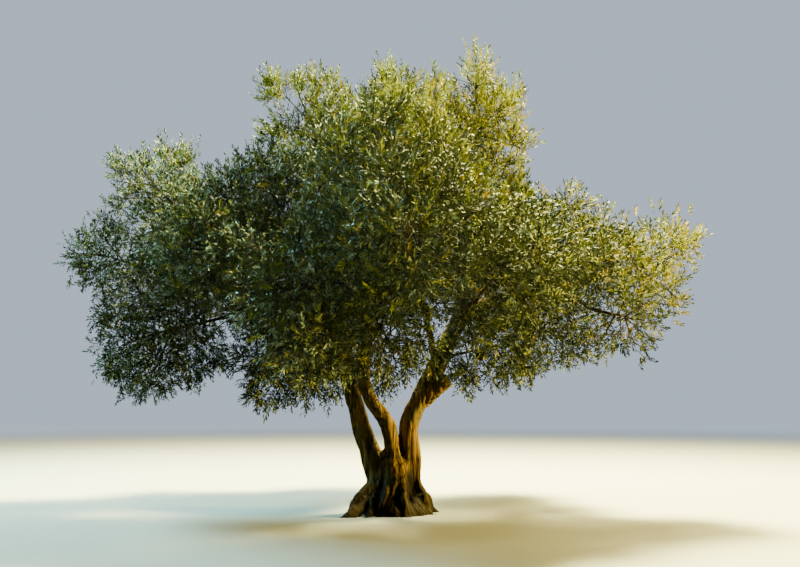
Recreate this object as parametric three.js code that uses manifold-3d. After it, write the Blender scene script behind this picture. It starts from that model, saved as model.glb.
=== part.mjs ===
// Olive tree, an old open-grown one. A short fluted trunk flares into root buttresses and forks at knee
// height into three stems. The stems carry boughs, and each bough ends in its own mass of foliage.
// Millimetres, +Z up, +X to the right and +Y away from a viewer in front. The origin is on the ground,
// at the middle of the trunk's flat cut.
import * as THREE from "three";
import { mergeVertices } from "three/addons/utils/BufferGeometryUtils.js";
import Module from "manifold-3d";

const wasm = await Module();
wasm.setup();

// Clearances
const JOINT_GAP = 0.3; // between two pieces that meet
const OWN_CUT = 0.27; // round a mass's own bough, short of the gap that their ends keep
const CUT_GAP = 0.36; // round any other limb that a piece is cut clear of
const SPACE_GAP = 20; // from a mass's leaves to the edge of its space
const LIMB_GAP = 14; // from a leaf to the limbs

// Trunk
const STUB = { length: 190, swell: 1.12 }; // of each stem, as far as it belongs to the trunk
const TRUNK_TWIST = THREE.MathUtils.degToRad(14); // from a buttress's foot to its stem
const HEART = { foot: -60, top: 670, sides: 10, radii: [420, 345, 290, 250, 205, 70] };
const STRAND = { sides: 6, steps: 5, radii: [88, 84, 92, 86, 66, 46] };
const BURIED = { out: 1.08, height: -70 }; // a strand's lower end, as a share of its reach, below the cut
const TOE = { out: 0.86, height: 35 };
const KNEE = { out: 0.48, waist: 0.6, height: 153 };
const WAIST = { x: 250, y: 205, height: 350 };
const SHOULDER = { rise: -60, inset: 46 }; // along its stem from the fork, and in from the stem's side
const STRAND_END = { rise: 133, inset: 62 };

// Stems and boughs
const STEM_GRID = { sides: 10, steps: 7 };
const BOUGH_GRID = { sides: 6, steps: 4 };
const BOUGH_RADIUS = { least: 46, most: 88, ofLength: 1 / 36, ofParent: 0.86, middle: 0.72, tip: 24 };
const BOUGH_BEND = { followsParent: 0.35, rises: 0.25, footHandle: 0.38, tipHandle: 0.3 };
const BOUGH_END = 0.96; // where a bough ends, as a share of the way from its mass's middle

// Foliage, where each leaf stands for a spray
const MASS_STEM = { sides: 5, foot: 24, tip: 17, past: 60 };
const CORE = { ball: 0.62, space: 0.86, least: 0.8, most: 1.12 }; // shares of the radius and of the space
const WAYS_ROUND = 16; // even ways round a mass, the first of them straight out of the crown
const LONG_TWIG_EVERY = 3; // of those ways, with a leaf at its tip and one at its side
const TWIG = { radius: 15, height: 24, foot: 0.3, rise: 0.35 };
const LEAF = { length: 520, width: 250, thickness: 44, widest: 0.52, ridge: 1.04 };
const LEAF_SIZE = { reach: 800, least: 0.5, most: 1.15 }; // a leaf is full size where the space reaches this
const SIDE_LEAF = { onLong: 0.42, onShort: 0.34, spread: 0.8 }; // its foot as a share of the space
const CROWN_MIDDLE = [0, 0, 2900];

// The stems, each by its radius and by its run from the fork to its tip.
const STEMS = {
  left_stem: {
    radii: [128, 112, 98, 84],
    run: [[-283, 50, 680], [-430, 55, 1060], [-545, 60, 1480], [-640, 80, 1850], [-733, 110, 2200]],
  },
  middle_stem: {
    radii: [100, 86, 80, 68],
    run: [[-17, -60, 700], [-85, -110, 1040], [-318, -150, 1420], [-336, -120, 1800], [-290, -90, 2420]],
  },
  right_stem: {
    radii: [126, 122, 116, 82],
    run: [[172, 10, 680], [182, 0, 1040], [330, -10, 1400], [500, 0, 1700], [700, 10, 2120], [865, 30, 2520]],
  },
};

// The buttresses: the way each foot points, in degrees from +X, its reach on the ground and its stem.
const BUTTRESSES = [
  { angle: 182, reach: 520, stem: "left_stem" },
  { angle: 215, reach: 700, stem: "left_stem" },
  { angle: 150, reach: 480, stem: "left_stem" },
  { angle: 118, reach: 430, stem: "left_stem" },
  { angle: 242, reach: 455, stem: "middle_stem" },
  { angle: 268, reach: 430, stem: "middle_stem" },
  { angle: 88, reach: 420, stem: "middle_stem" },
  { angle: 294, reach: 450, stem: "right_stem" },
  { angle: 326, reach: 470, stem: "right_stem" },
  { angle: 356, reach: 505, stem: "right_stem" },
  { angle: 28, reach: 480, stem: "right_stem" },
  { angle: 60, reach: 440, stem: "right_stem" },
];

// A sawn-off branch on the outer side of the right stem, grown round by a collar.
const KNOB = { at: 0.43, toward: [0.86, -0.3, 0.26], length: 360, sides: 9, radii: [104, 92, 62] };

// The masses of foliage: middle and radius of each one's space, the limb that its bough leaves and how
// far along that limb, and how much its twigs rise (or hang, where it is negative).
const MASSES = {
  left_tip: { centre: [-3660, 0, 3150], radius: 640, limb: "left_stem", along: 0.96, rise: 0.1 },
  left_shoulder: { centre: [-3140, 300, 4090], radius: 710, limb: "left_tip", along: 0.42, rise: 0.5 },
  left_skirt: { centre: [-2910, -200, 2150], radius: 820, limb: "left_tip", along: 0.3, rise: -0.4 },
  left_front: { centre: [-2160, -1000, 3020], radius: 800, limb: "left_stem", along: 0.86, rise: 0 },
  left_back: { centre: [-2880, 1500, 3480], radius: 940, limb: "left_tip", along: 0.16, rise: 0.1 },
  low_left: { centre: [-1270, -300, 1810], radius: 670, limb: "left_stem", along: 0.66, rise: -0.5 },
  mid_left: { centre: [-1780, -100, 3680], radius: 920, limb: "left_stem", along: 0.98, rise: 0.3 },
  upper_left: { centre: [-1130, 200, 5020], radius: 780, limb: "middle_stem", along: 0.86, rise: 0.6 },
  top_mid: { centre: [10, 0, 5020], radius: 790, limb: "middle_stem", along: 0.98, rise: 0.6 },
  top_right: { centre: [1130, 100, 4980], radius: 720, limb: "right_stem", along: 0.98, rise: 0.5 },
  top_spire: { centre: [1090, 100, 5740], radius: 500, limb: "top_right", along: 0.9, rise: 0.8 },
  upper_right: { centre: [1100, 300, 3960], radius: 880, limb: "right_stem", along: 0.88, rise: 0.3 },
  right_inner: { centre: [2110, -400, 3050], radius: 870, limb: "right_tip", along: 0.24, rise: 0.2 },
  right_tip: { centre: [3170, 100, 3100], radius: 780, limb: "right_stem", along: 0.8, rise: 0.2 },
  right_skirt: { centre: [2760, -400, 2330], radius: 510, limb: "right_tip", along: 0.5, rise: -0.4 },
  right_low: { centre: [1970, 300, 2210], radius: 700, limb: "right_tip", along: 0.1, rise: -0.3 },
  low_right: { centre: [1060, -520, 1940], radius: 560, limb: "right_stem", along: 0.6, rise: -0.5 },
  front_left: { centre: [-780, -2000, 2460], radius: 870, limb: "left_stem", along: 0.76, rise: -0.1 },
  front_mid: { centre: [140, -2500, 2780], radius: 860, limb: "middle_stem", along: 0.66, rise: 0 },
  front_right: { centre: [1060, -1900, 2660], radius: 850, limb: "right_stem", along: 0.7, rise: -0.1 },
  front_upper: { centre: [-110, -1200, 3740], radius: 930, limb: "right_stem", along: 0.5, rise: 0.3 },
  front_low: { centre: [-30, -1200, 1940], radius: 560, limb: "front_mid", along: 0.36, rise: -0.6 },
  back_left: { centre: [-1620, 2000, 3080], radius: 1000, limb: "left_stem", along: 0.8, rise: -0.1 },
  back_mid: { centre: [-20, 2600, 3600], radius: 1000, limb: "middle_stem", along: 0.74, rise: 0 },
  back_right: { centre: [1750, 2000, 3320], radius: 1000, limb: "right_stem", along: 0.74, rise: -0.1 },
  back_upper: { centre: [-160, 1400, 4640], radius: 1050, limb: "middle_stem", along: 0.92, rise: 0.4 },
  back_low: { centre: [-620, 1200, 2220], radius: 680, limb: "left_stem", along: 0.55, rise: -0.4 },
};
const FIRST_SEED = 101;

const BARK = new THREE.MeshStandardMaterial({ color: 0x6b5230, roughness: 0.95, metalness: 0 });
const YOUNG_BARK = new THREE.MeshStandardMaterial({ color: 0x5d5140, roughness: 0.9, metalness: 0 });
const FOLIAGE = new THREE.MeshStandardMaterial({ color: 0x6f7a3a, roughness: 0.75, metalness: 0 });

const UP = new THREE.Vector3(0, 0, 1);
const GOLDEN_ANGLE = Math.PI * (3 - Math.sqrt(5));
const point = (numbers) => new THREE.Vector3(...numbers);
const from = (place, way, distance) => place.clone().addScaledVector(way, distance);

// Numbers from 0 to 1 that are the same for the same seed.
function seeded(seed) {
  let state = seed;
  return () => {
    state = (state + 0x6d2b79f5) | 0;
    let t = Math.imul(state ^ (state >>> 15), 1 | state);
    t = (t + Math.imul(t ^ (t >>> 7), 61 | t)) ^ t;
    return ((t ^ (t >>> 14)) >>> 0) / 4294967296;
  };
}

function solidOf(geometry) {
  const bare = geometry.clone();
  bare.deleteAttribute("normal");
  bare.deleteAttribute("uv");
  const merged = mergeVertices(bare, 1e-3);
  const vertProperties = merged.attributes.position.array;
  const triVerts = new Uint32Array(merged.index.array);
  return new wasm.Manifold(new wasm.Mesh({ numProp: 3, vertProperties, triVerts }));
}

function geometryOf(solid) {
  const mesh = solid.getMesh();
  const geometry = new THREE.BufferGeometry();
  geometry.setAttribute("position", new THREE.BufferAttribute(new Float32Array(mesh.vertProperties), 3));
  geometry.setIndex(new THREE.BufferAttribute(new Uint32Array(mesh.triVerts), 1));
  geometry.computeVertexNormals();
  return geometry;
}

// The largest of the bodies that a cut leaves, without the slivers that show once near vertices are merged.
function largestBody(solid) {
  const larger = (best, body) => (body.volume() > best.volume() ? body : best);
  const largest = (whole) => whole.decompose().reduce(larger);
  return largest(solidOf(geometryOf(largest(solid))));
}

const joined = (solids) => solids.reduce((whole, solid) => whole.add(solid));

// A round tapering limb: a cylinder whose rings are laid along a curve.
function limbGeometry({ curve, radiusAt, sides, steps }, extra) {
  const geometry = new THREE.CylinderGeometry(1, 1, 1, sides, steps);
  const frames = curve.computeFrenetFrames(steps, false);
  const rings = Array.from({ length: steps + 1 }, (_, i) => curve.getPointAt(i / steps));
  rings[0].addScaledVector(frames.tangents[0], -extra);
  rings[steps].addScaledVector(frames.tangents[steps], extra);
  const at = geometry.attributes.position;
  for (let i = 0; i < at.count; i++) {
    const ring = Math.round((at.getY(i) + 0.5) * steps);
    const radius = radiusAt(ring / steps) + extra;
    const place = rings[ring].clone();
    place.addScaledVector(frames.normals[ring], at.getX(i) * radius);
    place.addScaledVector(frames.binormals[ring], -at.getZ(i) * radius);
    at.setXYZ(i, place.x, place.y, place.z);
  }
  return geometry;
}

// A radius that runs evenly through a list of radii.
function through(radii) {
  return (share) => {
    const place = share * (radii.length - 1);
    const i = Math.min(Math.floor(place), radii.length - 2);
    return THREE.MathUtils.lerp(radii[i], radii[i + 1], place - i);
  };
}

// Every limb: its curve, its radius along it, its sides and steps, and its finished solid.
const limbs = {};

// The limb's solid, or one that is larger all round by a clearance.
function limbSolid(limb, extra = 0) {
  return solidOf(limbGeometry(limb, extra));
}

const leanOf = ({ run }) => point(run[1]).sub(point(run[0])).normalize();

// Trunk: a heart with buttress strands that run from their feet up into the three forks.
function stemStub(stem) {
  const fork = point(stem.run[0]);
  const lean = leanOf(stem);
  const curve = new THREE.LineCurve3(from(fork, lean, -STUB.length), from(fork, lean, STUB.length));
  const radiusAt = through([stem.radii[0] * STUB.swell, stem.radii[0]]);
  return limbSolid({ curve, radiusAt, sides: STEM_GRID.sides, steps: 2 });
}

function buttress({ angle, reach, stem }) {
  const { run, radii } = STEMS[stem];
  const lean = leanOf(STEMS[stem]);
  const foot = THREE.MathUtils.degToRad(angle);
  const out = (turn) => new THREE.Vector3(Math.cos(turn), Math.sin(turn), 0);
  const upTheStem = ({ rise, inset }) => {
    return from(from(point(run[0]), lean, rise), out(foot + TRUNK_TWIST), radii[0] - inset);
  };
  const curve = new THREE.CatmullRomCurve3([
    out(foot).multiplyScalar(reach * BURIED.out).setZ(BURIED.height),
    out(foot).multiplyScalar(reach * TOE.out).setZ(TOE.height),
    out(foot + TRUNK_TWIST / 4).multiplyScalar(reach * KNEE.out + WAIST.x * KNEE.waist).setZ(KNEE.height),
    out(foot + TRUNK_TWIST / 2).multiply(new THREE.Vector3(WAIST.x, WAIST.y, 0)).setZ(WAIST.height),
    upTheStem(SHOULDER),
    upTheStem(STRAND_END),
  ]);
  return limbSolid({ curve, radiusAt: through(STRAND.radii), sides: STRAND.sides, steps: STRAND.steps });
}

function trunkSolid() {
  const heart = limbSolid({
    curve: new THREE.LineCurve3(new THREE.Vector3(0, 0, HEART.foot), new THREE.Vector3(0, 0, HEART.top)),
    radiusAt: through(HEART.radii),
    sides: HEART.sides,
    steps: HEART.radii.length - 1,
  });
  const whole = joined([heart, ...BUTTRESSES.map(buttress), ...Object.values(STEMS).map(stemStub)]);
  const room = 4000;
  const aboveGround = solidOf(new THREE.BoxGeometry(room, room, room).translate(0, 0, room / 2));
  return largestBody(whole.intersect(aboveGround));
}

// Stems: each goes on from its stub's flat face.
function addStem(name, trunk) {
  const { run, radii } = STEMS[name];
  const foot = from(point(run[0]), leanOf(STEMS[name]), STUB.length + JOINT_GAP);
  const curve = new THREE.CatmullRomCurve3([foot, ...run.slice(1).map(point)]);
  const limb = { curve, radiusAt: through(radii), ...STEM_GRID };
  limb.solid = largestBody(limbSolid(limb).subtract(trunk));
  limbs[name] = limb;
}

function addKnob() {
  const stem = limbs.right_stem;
  const foot = stem.curve.getPointAt(KNOB.at);
  const curve = new THREE.LineCurve3(foot, from(foot, point(KNOB.toward).normalize(), KNOB.length));
  const knob = limbSolid({ curve, radiusAt: through(KNOB.radii), sides: KNOB.sides, steps: 2 });
  stem.solid = stem.solid.add(knob);
}

// How far a mass's space reaches from its middle in a direction: to its sphere, or to the plane where
// its neighbour's space begins.
function reach(mass, direction) {
  const centre = point(mass.centre);
  let far = mass.radius;
  for (const other of Object.values(MASSES)) {
    const between = point(other.centre).sub(centre);
    const facing = direction.dot(between);
    if (other === mass || facing <= 0) continue;
    const plane = (between.lengthSq() + mass.radius ** 2 - other.radius ** 2) / (2 * facing);
    far = Math.min(far, plane);
  }
  return far;
}

function inSpace(mass, place) {
  const away = place.clone().sub(point(mass.centre));
  return away.length() < reach(mass, away.clone().normalize()) - SPACE_GAP;
}

// Boughs: each leaves the side of its parent, rises a little and ends where it enters its mass.
function addBough(name) {
  const mass = MASSES[name];
  const parent = limbs[mass.limb];
  const centre = point(mass.centre);
  const foot = parent.curve.getPointAt(mass.along);
  const back = foot.clone().sub(centre).normalize();
  const tip = from(centre, back, reach(mass, back) * BOUGH_END);
  const length = foot.distanceTo(tip);
  const onward = tip.clone().sub(foot).normalize();
  const parentWay = parent.curve.getTangentAt(mass.along);
  const first = onward.clone().lerp(parentWay, BOUGH_BEND.followsParent);
  first.addScaledVector(UP, BOUGH_BEND.rises).normalize();
  const last = centre.clone().sub(tip).normalize().add(onward).normalize();
  const curve = new THREE.CubicBezierCurve3(
    foot,
    from(foot, first, length * BOUGH_BEND.footHandle),
    from(tip, last, -length * BOUGH_BEND.tipHandle),
    tip,
  );
  const thick = THREE.MathUtils.clamp(length * BOUGH_RADIUS.ofLength, BOUGH_RADIUS.least, BOUGH_RADIUS.most);
  const radius = Math.min(thick, parent.radiusAt(mass.along) * BOUGH_RADIUS.ofParent);
  const radiusAt = through([radius, radius * BOUGH_RADIUS.middle, BOUGH_RADIUS.tip]);
  const limb = { curve, radiusAt, ...BOUGH_GRID };
  const older = Object.values(limbs).map((other) => limbSolid(other, CUT_GAP));
  limb.solid = largestBody(older.reduce((rest, other) => rest.subtract(other), limbSolid(limb)));
  limbs[name] = limb;
}

// Places along a limb, close enough together to measure a clearance from.
function sampleLimb(limb) {
  const count = Math.ceil(limb.curve.getLength() / 60);
  const sample = (_, i) => ({ place: limb.curve.getPointAt(i / count), radius: limb.radiusAt(i / count) });
  limb.samples = Array.from({ length: count + 1 }, sample);
}

// True if a leaf between two places is clear of every limb.
function clearOfLimbs(root, tip) {
  const steps = 6;
  const clearance = LEAF.width / 2 + LIMB_GAP;
  for (let i = 0; i <= steps; i++) {
    const place = root.clone().lerp(tip, i / steps);
    for (const { samples } of Object.values(limbs)) {
      if (samples.some((sample) => sample.place.distanceTo(place) < sample.radius + clearance)) return false;
    }
  }
  return true;
}

// A leaf: a blade with a ridge above, widest at its middle. It starts at a point, where its root is sunk
// in a twig, or goes on from the twig's own three-sided end.
function leafSolid(root, way, faceUp, size, twigFoot) {
  const side = new THREE.Vector3().crossVectors(faceUp, way).normalize();
  const face = new THREE.Vector3().crossVectors(way, side);
  const at = (foot, along, across, up) => from(from(from(foot, way, along), side, across), face, up);
  const triangle = (foot, along, across, up) => [
    at(foot, along, -across, 0),
    at(foot, along, across, 0),
    at(foot, along * LEAF.ridge, 0, up),
  ];
  const length = LEAF.length * size;
  const widest = triangle(root, LEAF.widest * length, (LEAF.width * size) / 2, LEAF.thickness * size);
  const twigEnd = (foot) => triangle(foot, 0, TWIG.radius, TWIG.height);
  const start = twigFoot ? [twigEnd(twigFoot), twigEnd(root)] : [[root]];
  const rings = [...start, widest, [at(root, length, 0, 0)]];
  const faces = twigFoot ? [0, 2, 1] : [];
  let first = 0;
  rings.slice(0, -1).forEach((ring, i) => {
    const next = first + ring.length;
    for (let k = 0; k < 3; k++) {
      const l = (k + 1) % 3;
      if (ring.length === 1) faces.push(first, next + l, next + k);
      else if (rings[i + 1].length === 1) faces.push(first + k, first + l, next);
      else faces.push(first + k, first + l, next + l, first + k, next + l, next + k);
    }
    first = next;
  });
  const geometry = new THREE.BufferGeometry();
  const corners = rings.flat().flatMap((corner) => corner.toArray());
  geometry.setAttribute("position", new THREE.Float32BufferAttribute(corners, 3));
  geometry.setIndex(faces);
  return solidOf(geometry);
}

// Even ways round a mass, from straight ahead to straight behind.
function evenWay(k, count, turn, ahead) {
  const z = 1 - (2 * k) / (count - 1);
  const ring = Math.sqrt(1 - z * z);
  const angle = k * GOLDEN_ANGLE + turn;
  const way = new THREE.Vector3(ring * Math.cos(angle), ring * Math.sin(angle), z);
  return way.applyQuaternion(new THREE.Quaternion().setFromUnitVectors(UP, ahead));
}

// The core that fills the inside of a mass, rough all over, and flatter where a neighbour is close.
function coreSolid(mass, chance) {
  const core = new THREE.IcosahedronGeometry(1, 1);
  const at = core.attributes.position;
  const bumps = new Map();
  for (let i = 0; i < at.count; i++) {
    const way = new THREE.Vector3().fromBufferAttribute(at, i).normalize();
    const corner = way.toArray().map((n) => n.toFixed(3)).join();
    if (!bumps.has(corner)) bumps.set(corner, THREE.MathUtils.lerp(CORE.least, CORE.most, chance()));
    const far = Math.min(mass.radius * CORE.ball, reach(mass, way) * CORE.space) * bumps.get(corner);
    const place = from(point(mass.centre), way, far);
    at.setXYZ(i, place.x, place.y, place.z);
  }
  return solidOf(core);
}

// A mass of foliage: a stem from the bough's tip, a core, and twigs whose leaves reach the edge of its space.
function massSolid(name, seed) {
  const mass = MASSES[name];
  const chance = seeded(seed);
  const centre = point(mass.centre);
  const bough = limbs[name].curve;
  const onward = bough.getTangentAt(1);
  const entry = from(bough.getPointAt(1), onward, JOINT_GAP);
  const curve = new THREE.LineCurve3(entry, from(centre, onward, MASS_STEM.past));
  const radiusAt = through([MASS_STEM.foot, MASS_STEM.tip]);
  const stem = limbSolid({ curve, radiusAt, sides: MASS_STEM.sides, steps: 1 });
  const parts = [stem, coreSolid(mass, chance)];

  const addLeaf = (root, way, faceUp, size, twigFoot) => {
    const tip = from(root, way, LEAF.length * size);
    if (!inSpace(mass, tip) || !clearOfLimbs(root, tip)) return;
    parts.push(leafSolid(root, way, faceUp, size, twigFoot));
  };
  const ahead = centre.clone().sub(point(CROWN_MIDDLE)).normalize();
  const turn = chance() * 2 * Math.PI;
  for (let k = 0; k < WAYS_ROUND; k++) {
    const way = evenWay(k, WAYS_ROUND, turn, ahead).addScaledVector(UP, mass.rise * TWIG.rise).normalize();
    const open = reach(mass, way);
    const size = THREE.MathUtils.clamp(open / LEAF_SIZE.reach, LEAF_SIZE.least, LEAF_SIZE.most);
    const level = Math.abs(way.z) > 0.9 ? new THREE.Vector3(1, 0, 0) : UP;
    const side = new THREE.Vector3().crossVectors(way, level).normalize();
    side.applyAxisAngle(way, chance() * 2 * Math.PI);
    const isLong = k % LONG_TWIG_EVERY === 0;
    if (isLong) {
      const root = from(centre, way, open - SPACE_GAP - 1 - LEAF.length * size);
      addLeaf(root, way, side, size, from(centre, way, open * TWIG.foot));
    }
    const sideRoot = from(centre, way, open * (isLong ? SIDE_LEAF.onLong : SIDE_LEAF.onShort));
    addLeaf(sideRoot, way.clone().addScaledVector(side, SIDE_LEAF.spread).normalize(), way, size);
  }

  let whole = joined(parts);
  for (const [limbName, limb] of Object.entries(limbs)) {
    whole = whole.subtract(limbSolid(limb, limbName === name ? OWN_CUT : CUT_GAP));
  }
  return largestBody(whole);
}

function meshOf(name, solid, material) {
  const mesh = new THREE.Mesh(geometryOf(solid), material);
  mesh.name = name;
  return mesh;
}

const tree = new THREE.Group();
const trunk = trunkSolid();
tree.add(meshOf("trunk", trunk, BARK));

for (const name of Object.keys(STEMS)) addStem(name, trunk);
addKnob();

// A bough waits until the limb that carries it is there.
const waiting = new Set(Object.keys(MASSES));
while (waiting.size) {
  for (const name of [...waiting].filter((waiter) => limbs[MASSES[waiter].limb])) {
    addBough(name);
    waiting.delete(name);
  }
}
Object.values(limbs).forEach(sampleLimb);

for (const [name, limb] of Object.entries(limbs)) {
  const isStem = name in STEMS;
  tree.add(meshOf(isStem ? name : `${name}_bough`, limb.solid, isStem ? BARK : YOUNG_BARK));
}
Object.keys(MASSES).forEach((name, i) => {
  tree.add(meshOf(`${name}_foliage`, massSolid(name, FIRST_SEED + i), FOLIAGE));
});

export default tree;
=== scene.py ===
import math

import bpy
import numpy as np
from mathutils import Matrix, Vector, noise


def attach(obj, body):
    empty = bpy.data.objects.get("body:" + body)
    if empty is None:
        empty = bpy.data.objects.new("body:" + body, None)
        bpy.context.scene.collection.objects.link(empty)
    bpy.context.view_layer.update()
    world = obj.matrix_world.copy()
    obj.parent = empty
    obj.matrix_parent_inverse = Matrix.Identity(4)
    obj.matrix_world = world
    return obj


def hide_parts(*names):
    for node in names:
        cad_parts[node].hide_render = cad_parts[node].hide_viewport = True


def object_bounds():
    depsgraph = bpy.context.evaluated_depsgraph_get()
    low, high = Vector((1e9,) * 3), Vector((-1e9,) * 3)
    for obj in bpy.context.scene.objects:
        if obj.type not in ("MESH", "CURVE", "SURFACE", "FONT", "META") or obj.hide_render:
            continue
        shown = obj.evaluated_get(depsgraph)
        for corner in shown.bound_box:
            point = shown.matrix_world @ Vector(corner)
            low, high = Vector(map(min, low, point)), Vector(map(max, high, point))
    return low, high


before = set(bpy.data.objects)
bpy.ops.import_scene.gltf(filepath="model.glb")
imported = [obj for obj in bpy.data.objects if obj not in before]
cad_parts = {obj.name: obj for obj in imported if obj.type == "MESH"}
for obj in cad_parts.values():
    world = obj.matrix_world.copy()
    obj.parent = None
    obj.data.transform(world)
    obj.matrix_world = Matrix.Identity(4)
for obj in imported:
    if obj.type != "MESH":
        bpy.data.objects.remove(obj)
cad_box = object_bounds()

# Camera. The photograph looks a little up at the tree from straight in front, from a low hand-held height.
# The lens is the one that puts the trunk's foot and the tips of the crown where they show.
camera_data = bpy.data.cameras.new("camera")
camera_data.sensor_width = 36.0
camera_data.lens = 34.2
camera = bpy.data.objects.new("camera", camera_data)
CAMERA_TILT = math.radians(9.156)
camera.location = (0.0604, -9.5, 1.2638)
camera.rotation_euler = (math.pi / 2 + CAMERA_TILT, 0, 0)
bpy.context.scene.collection.objects.link(camera)
bpy.context.scene.camera = camera


# Trunk and stems. Old olive wood grows as separate strands: each buttress rises from its root, twists in
# against its neighbours at the waist and goes on up one side of a stem, with deep hollows left between them.
# The bark is hard and cracked, and a branch was once sawn off the outer side of the right stem.
STEMS = {  # radii from the foot to the tip, and the places that each stem runs through
    "left_stem": {
        "radii": [0.128, 0.114, 0.11, 0.1],
        "run": [(-0.283, 0.05, 0.68), (-0.43, 0.055, 1.06), (-0.545, 0.06, 1.48), (-0.64, 0.08, 1.85),
                (-0.733, 0.11, 2.2)],
    },
    "middle_stem": {
        "radii": [0.1, 0.088, 0.1, 0.088],
        "run": [(-0.017, -0.06, 0.7), (-0.085, -0.11, 1.04), (-0.336, -0.15, 1.42), (-0.395, -0.12, 1.8),
                (-0.29, -0.09, 2.42)],
    },
    "right_stem": {
        "radii": [0.126, 0.122, 0.116, 0.082],
        "run": [(0.172, 0.01, 0.68), (0.182, 0, 1.04), (0.33, -0.01, 1.4), (0.5, 0, 1.7), (0.7, 0.01, 2.12),
                (0.865, 0.03, 2.52)],
    },
}
BUTTRESSES = [  # the ways its foot and its waist point, its reach on the ground, its thickness and its stem
    (182, 176, 0.54, 1.14, "left_stem"), (217, 197, 0.75, 0.96, "left_stem"),
    (150, 157, 0.48, 1.0, "left_stem"), (118, 125, 0.43, 1.0, "left_stem"),
    (224, 208, 0.68, 0.72, "left_stem"), (234, 222, 0.56, 0.78, "left_stem"),
    (247, 250, 0.455, 1.0, "middle_stem"),
    (268, 272, 0.4, 0.62, "middle_stem"), (88, 95, 0.42, 1.0, "middle_stem"),
    (288, 294, 0.45, 1.05, "middle_stem"), (314, 306, 0.46, 0.6, "right_stem"),
    (336, 345, 0.47, 1.0, "right_stem"), (0, 8, 0.5, 0.95, "right_stem"),
    (28, 38, 0.48, 1.0, "right_stem"), (60, 68, 0.44, 1.0, "right_stem"),
]
TRUNK_TWIST = math.radians(14)
STRAND_RADII = [0.042, 0.055, 0.074, 0.076, 0.064, 0.046]
STRAND_STEPS = 40
STRAND_WOBBLE = 0.016
KNEE_HEIGHT = 0.153
WAIST = (0.25, 0.205, 0.35)  # half its width, half its depth, and its height
HEART_RADII = [0.47, 0.43, 0.37, 0.3, 0.25, 0.22, 0.16, 0.06]  # the wood inside the strands
KNOB = {"at": 0.28, "toward": (0.8, -0.28, 0.56), "length": 0.43, "radii": [0.13, 0.118, 0.1, 0.08]}
COLLAR = {"radius": 0.052, "thickness": 0.024, "back": 0.02}
CORDS_PER_STEM = 5
CORD_SIDES = 14
STEM_STEPS = 60
TRUNK_TOP = 0.1903  # how far up a stem's run its own solid begins
PATH_STEPS = 100  # on the path that a stem's boughs leave from
VOXEL = 0.0135
NOISE_SEED = 1  # without one, noise_vector differs from run to run


def unit(vectors):
    """The vectors at length one."""
    vectors = np.asarray(vectors, float)
    return vectors / np.linalg.norm(vectors, axis=-1, keepdims=True)


def evenly(places, count):
    """count + 1 places, spread evenly by length along a line of places."""
    gone = np.concatenate([[0], np.cumsum(np.linalg.norm(np.diff(places, axis=0), axis=1))])
    wanted = np.linspace(0, gone[-1], count + 1)
    return np.stack([np.interp(wanted, gone, places[:, k]) for k in range(3)], axis=1)


def smooth_run(points, count):
    """count + 1 places along the smooth curve through the points."""
    points = np.asarray(points, float)
    points = np.vstack([2 * points[0] - points[1], points, 2 * points[-1] - points[-2]])
    places = []
    for a, b, c, d in zip(points, points[1:], points[2:], points[3:]):
        before, here, after = [math.sqrt(np.linalg.norm(q - p)) for p, q in ((a, b), (b, c), (c, d))]
        leave = here * ((b - a) / before - (c - a) / (before + here) + (c - b) / here)
        arrive = here * ((c - b) / here - (d - b) / (here + after) + (d - c) / after)
        for t in np.linspace(0, 1, 24, endpoint=False):
            places.append(
                (2 * t**3 - 3 * t**2 + 1) * b + (t**3 - 2 * t**2 + t) * leave
                + (3 * t**2 - 2 * t**3) * c + (t**3 - t**2) * arrive
            )
    return evenly(np.array(places + [points[-2]]), count)


def along(values, shares):
    """Values that run evenly through a list, at shares of the way along it."""
    return np.interp(shares, np.linspace(0, 1, len(values)), values)


def ring_frames(path):
    """At each place of a path: its way on, and two ways across that turn as little as they can."""
    ways = unit(np.gradient(path, axis=0))
    across = np.cross(ways[0], (0.31, 0.95, 0.05))
    firsts = []
    for way in ways:
        across = across - way * (across @ way)
        across = across / np.linalg.norm(across)
        firsts.append(across)
    firsts = np.array(firsts)
    return ways, firsts, np.cross(ways, firsts)


def tube(path, radii, sides):
    """Corners and faces of a closed round tube along a path. radii has one row, or one value, per place."""
    _, first, second = ring_frames(path)
    turns = np.linspace(0, 2 * math.pi, sides, endpoint=False)
    radii = np.broadcast_to(np.asarray(radii, float).reshape(len(path), -1), (len(path), sides))
    ring = np.cos(turns)[None, :, None] * first[:, None] + np.sin(turns)[None, :, None] * second[:, None]
    corners = (path[:, None] + ring * radii[..., None]).reshape(-1, 3)
    faces = []
    for i in range(len(path) - 1):
        for k in range(sides):
            l = (k + 1) % sides
            faces.append((i * sides + k, i * sides + l, (i + 1) * sides + l, (i + 1) * sides + k))
    faces.append(tuple(reversed(range(sides))))
    faces.append(tuple(range((len(path) - 1) * sides, len(path) * sides)))
    return corners, faces


def joined_tubes(tubes):
    """One list of corners and one of faces for several tubes."""
    corners, faces, first = [], [], 0
    for tube_corners, tube_faces in tubes:
        corners.append(tube_corners)
        faces += [tuple(first + i for i in face) for face in tube_faces]
        first += len(tube_corners)
    return np.vstack(corners), faces


def object_of(name, mesh):
    """A new object in the scene for a mesh."""
    made = bpy.data.objects.new(name, mesh)
    bpy.context.scene.collection.objects.link(made)
    return made


def lean_of(stem):
    return unit(np.subtract(stem["run"][1], stem["run"][0]))


def outward(angle):
    return np.array([math.cos(angle), math.sin(angle), 0])


def stem_path(stem):
    """A stem's places from where its own solid begins to its tip."""
    start = np.array(stem["run"][0]) + lean_of(stem) * TRUNK_TOP
    return smooth_run([start] + stem["run"][1:], PATH_STEPS)


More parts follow.
